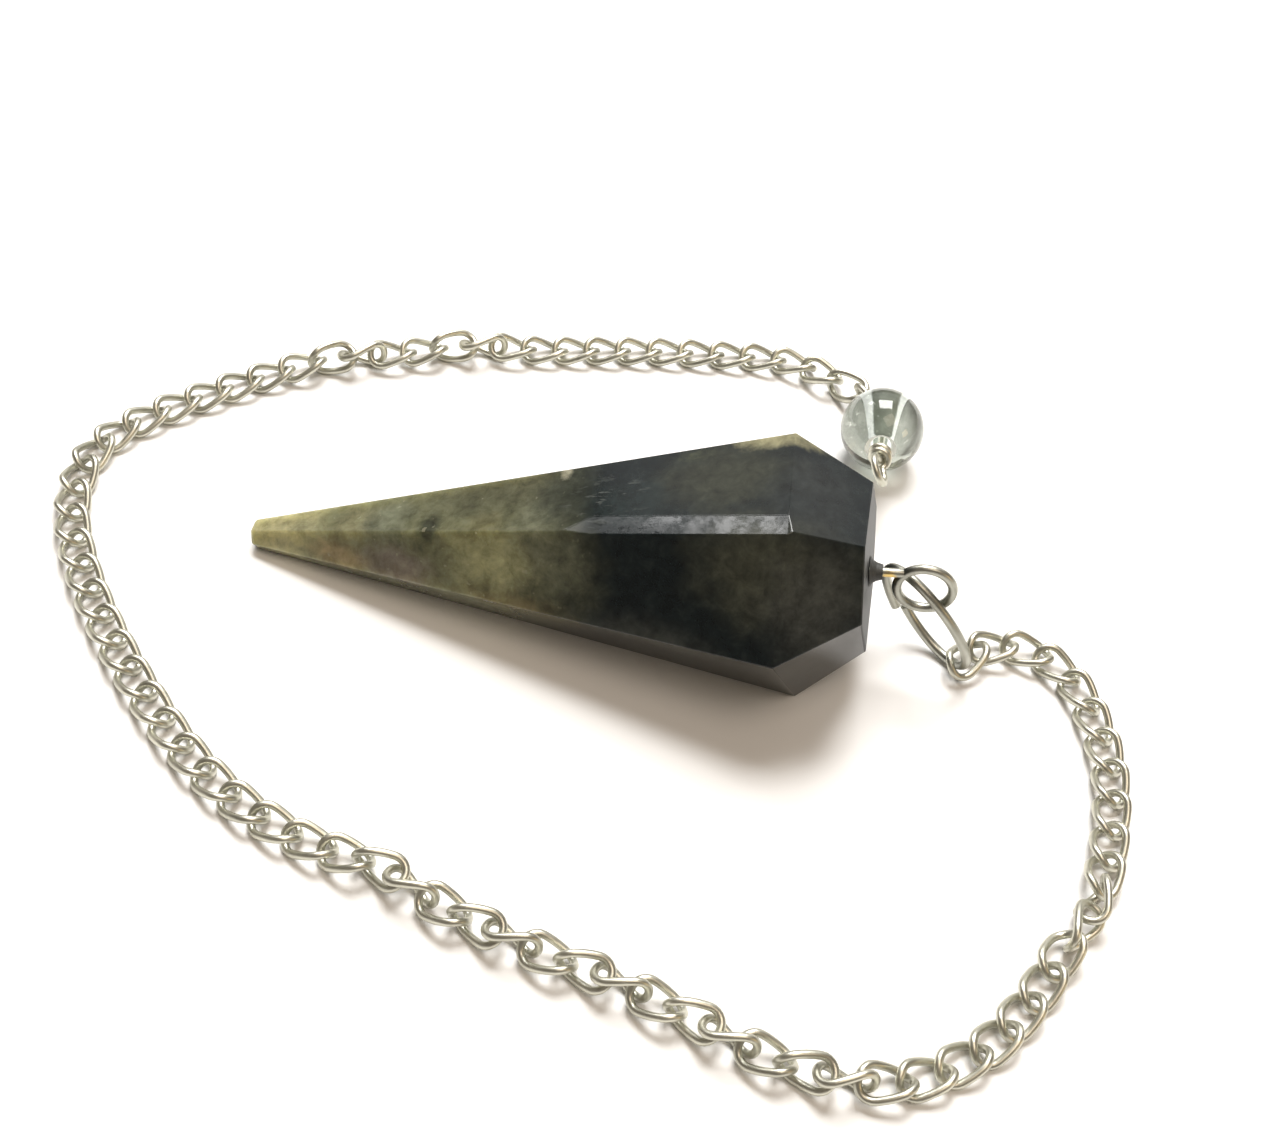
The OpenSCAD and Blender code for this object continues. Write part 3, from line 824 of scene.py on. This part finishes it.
def ground_glass_material():
    """The bead's bore: frosted white on its two sides and at the free end, darker elsewhere, with a
    painted glow.
    """
    m = Nodes("ground_glass")
    grain = m.noise(m.coords(), 6, 4, 0.6)
    offset = m.add("SeparateXYZ", {"Vector": m.coords(shift=tuple(-BEAD_AT))}).outputs
    over = m.math("MULTIPLY", offset["Y"], BORE_DIR.y)
    along = m.math("ADD", over, m.math("MULTIPLY", offset["Z"], BORE_DIR.z))
    near = m.math("MULTIPLY", m.math("MAXIMUM", m.math("SUBTRACT", along, 1.2), 0.0), 0.5)
    aside = m.math("ABSOLUTE", offset["X"])
    squares = m.math("ADD", m.math("POWER", aside, 2.0), m.math("POWER", near, 2.0))
    reach = m.math("SQRT", squares)
    side = m.math("ADD", reach, m.math("MULTIPLY", grain, 0.12))
    frost = m.ramp(side, [(0.56, 0.0), (0.62, 1.0)])
    m.set(Base_Color=m.mix(frost, (0.52, 0.56, 0.50), (0.86, 0.88, 0.84)))
    m.set(Roughness=m.math("ADD", 0.45, m.math("MULTIPLY", grain, 0.2)))
    # Painted glow: the frosted glass gives off light, away from the open mouths
    painted_glow = m.add("MapRange", {
        "Value": m.math("ABSOLUTE", along), "From Min": 2.0, "From Max": 2.45,
        "To Min": 1.0, "To Max": 0.1,
    }, interpolation_type="SMOOTHSTEP").outputs["Result"]
    m.set(Emission_Color=m.mix(painted_glow, (0, 0, 0), frost), Emission_Strength=1.1)
    m.bump(grain, 0.4, 0.05)
    return m.material


def cement_material():
    m = Nodes("dark_cement")
    grain = m.noise(m.coords(), 2.5, 5, 0.65)
    m.set(Base_Color=m.mix(grain, (0.014, 0.015, 0.014), (0.055, 0.055, 0.050)), Roughness=0.55)
    m.bump(grain, 0.6, 0.08)
    return m.material


def floor_material():
    m = Nodes("pale_floor")
    m.set(Base_Color=(0.86, 0.86, 0.86, 1), Roughness=0.9, Specular_IOR_Level=0.1)
    return m.material


# Scene
def make_camera():
    data = bpy.data.cameras.new("camera")
    data.sensor_fit = "HORIZONTAL"
    data.sensor_width = SENSOR
    data.lens = FOCAL_PX / IMAGE_PX[0] * SENSOR
    data.clip_start = 0.002
    data.clip_end = 10
    camera = bpy.data.objects.new("camera", data)
    back = -CAMERA_SIGHT
    right = square_to(CAMERA_RIGHT, CAMERA_SIGHT)
    turn = Matrix((right, back.cross(right), back)).transposed()
    camera.matrix_world = Matrix.Translation(MM * CAMERA_AT) @ turn.to_4x4()
    bpy.context.scene.collection.objects.link(camera)
    bpy.context.scene.camera = camera


def make_floor():
    """A round floor, only as far as the lights reach."""
    radius, sides = 650 * MM, 96
    turns = [2 * pi * k / sides for k in range(sides)]
    rim = [(radius * cos(turn), radius * sin(turn), 0) for turn in turns]
    mesh = bpy.data.meshes.new("floor")
    mesh.from_pydata(rim, [], [tuple(range(sides))])
    mesh.materials.append(floor_material())
    floor = bpy.data.objects.new("floor", mesh)
    bpy.context.scene.collection.objects.link(floor)


def area_light(name, place, target, size, power, colour=(1, 1, 1)):
    data = bpy.data.lights.new(name, "AREA")
    data.shape = "RECTANGLE"
    data.size, data.size_y = size[0] * MM, size[1] * MM
    data.energy = power
    data.color = colour
    lamp = bpy.data.objects.new(name, data)
    place = Vector(place)
    lamp.location = MM * place
    lamp.rotation_euler = (Vector(target) - place).to_track_quat("-Z", "Y").to_euler()
    bpy.context.scene.collection.objects.link(lamp)


def make_lights():
    bpy.context.scene.view_settings.view_transform = "Standard"
    world = bpy.data.worlds.new("soft_surround")
    bpy.context.scene.world = world
    world.use_nodes = True
    background = world.node_tree.nodes["Background"]
    background.inputs["Color"].default_value = (1, 0.86, 0.72, 1)
    background.inputs["Strength"].default_value = 0.2
    # Behind the floor the camera sees a pale backdrop, which lights nothing
    nodes, links = world.node_tree.nodes, world.node_tree.links
    backdrop = nodes.new("ShaderNodeBackground")
    backdrop.inputs["Color"].default_value = (0.96, 0.955, 0.94, 1)
    seen = nodes.new("ShaderNodeLightPath").outputs["Is Camera Ray"]
    choose = nodes.new("ShaderNodeMixShader")
    links.new(seen, choose.inputs["Fac"])
    links.new(background.outputs["Background"], choose.inputs[1])
    links.new(backdrop.outputs["Background"], choose.inputs[2])
    links.new(choose.outputs["Shader"], nodes["World Output"].inputs["Surface"])
    area_light("window", (-30, 400, 760), (0, 0, 0), (430, 430), 10.8, (1, 0.99, 0.97))
    area_light("fill", (168, -201, 649), (0, 0, 0), (360, 360), 1.4, (1, 0.84, 0.68))
    area_light("warm_side", (620, -210, 210), (20, 0, 5), (200, 160), 0.35, (1, 0.72, 0.36))
    area_light("back_wall", (80, 720, 400), (0, 0, 60), (1260, 440), 1.35)
    area_light("side", (-298, 330, 408), (10, -3, 13), (100, 100), 0.41)


make_camera()
make_floor()
make_lights()

stone = stone_material("polished_stone", 0.0, 0.32)
strip = stone_material("ground_strip", 0.26, 0.27)
# The findings get a painted golden highlight on the pin's neck
findings = metal_material("plated_wire", (0.47, 0.47, 0.41), 0.35, (22.9, -0.25, 8.2))
chain_metal = metal_material("plated_chain", (0.66, 0.65, 0.55), 0.36)
cement = cement_material()

make_stone([stone, strip])
make_eye_pin([findings])
make_ring([findings])
make_chain([chain_metal])
make_bead([glass_material(), ground_glass_material()])
make_bead_wire([chain_metal])

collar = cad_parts["pin_collar"]
if collar.material_slots:
    for material_slot in collar.material_slots:
        material_slot.material = cement
else:
    collar.data.materials.append(cement)
